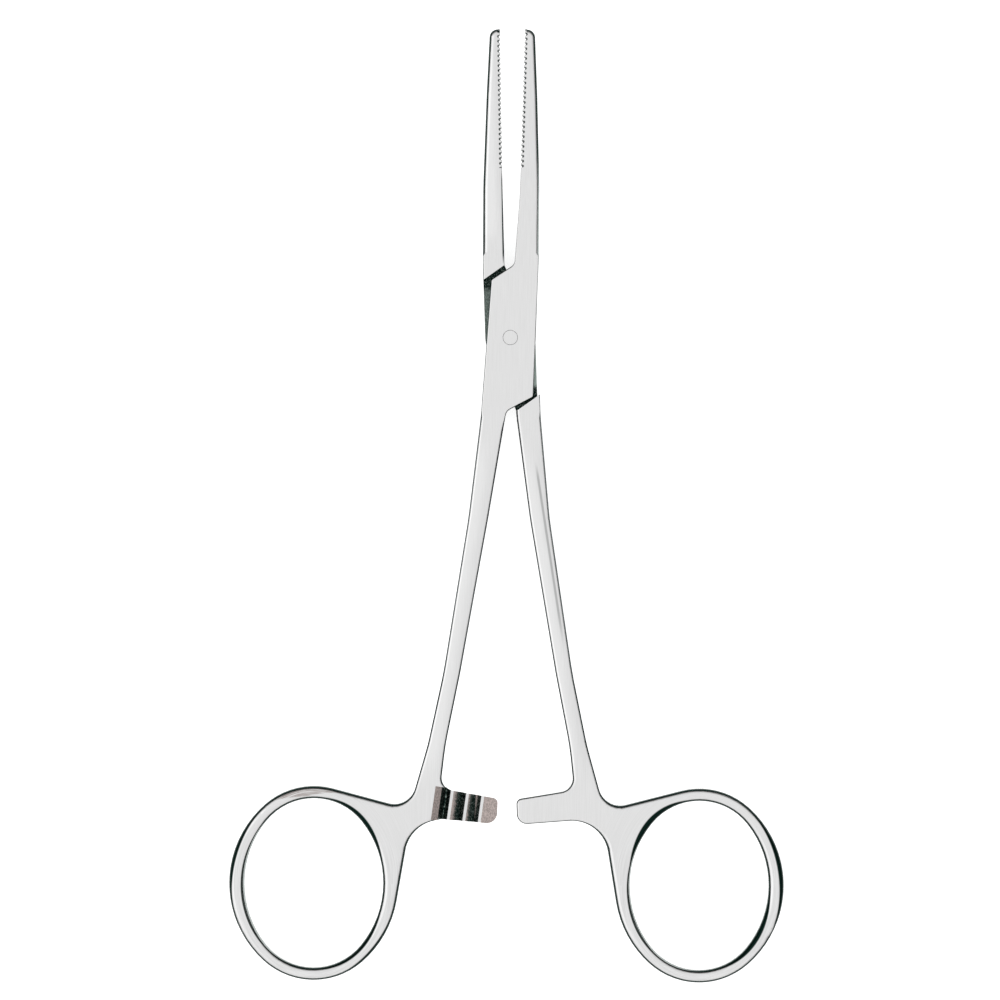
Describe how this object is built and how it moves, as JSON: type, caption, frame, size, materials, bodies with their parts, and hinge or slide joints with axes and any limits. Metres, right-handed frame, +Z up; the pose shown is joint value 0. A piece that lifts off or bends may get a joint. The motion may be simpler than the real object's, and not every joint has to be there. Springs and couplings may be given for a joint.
{
  "type": "hemostat forceps",
  "caption": "Straight locking hemostat forceps with half-serrated jaws, a box lock, a toothed ratchet and oval finger rings.",
  "frame": {"origin": "centre of the hinge rivet at the back face of the box lock", "axes": "+X to the right, +Y along the instrument towards the jaw tips, +Z up from the back face of the lock towards its front face"},
  "size_m": [0.0816, 0.14, 0.0045],
  "materials": {
    "satin_steel": "satin ground stainless steel",
    "pin_steel": "ground flush with the lock"
  },
  "bodies": {
    "box_half": {"box_half": "satin_steel", "pivot_pin": "pin_steel"},
    "through_half": {"through_half": "satin_steel"}
  },
  "joints": [
    {"name": "lock_pivot", "type": "hinge", "parent": "box_half", "child": "through_half", "pos_m": [0, 0, 0], "axis": [0, 0, 1], "range_deg": [-4.5, 55]}
  ]
}
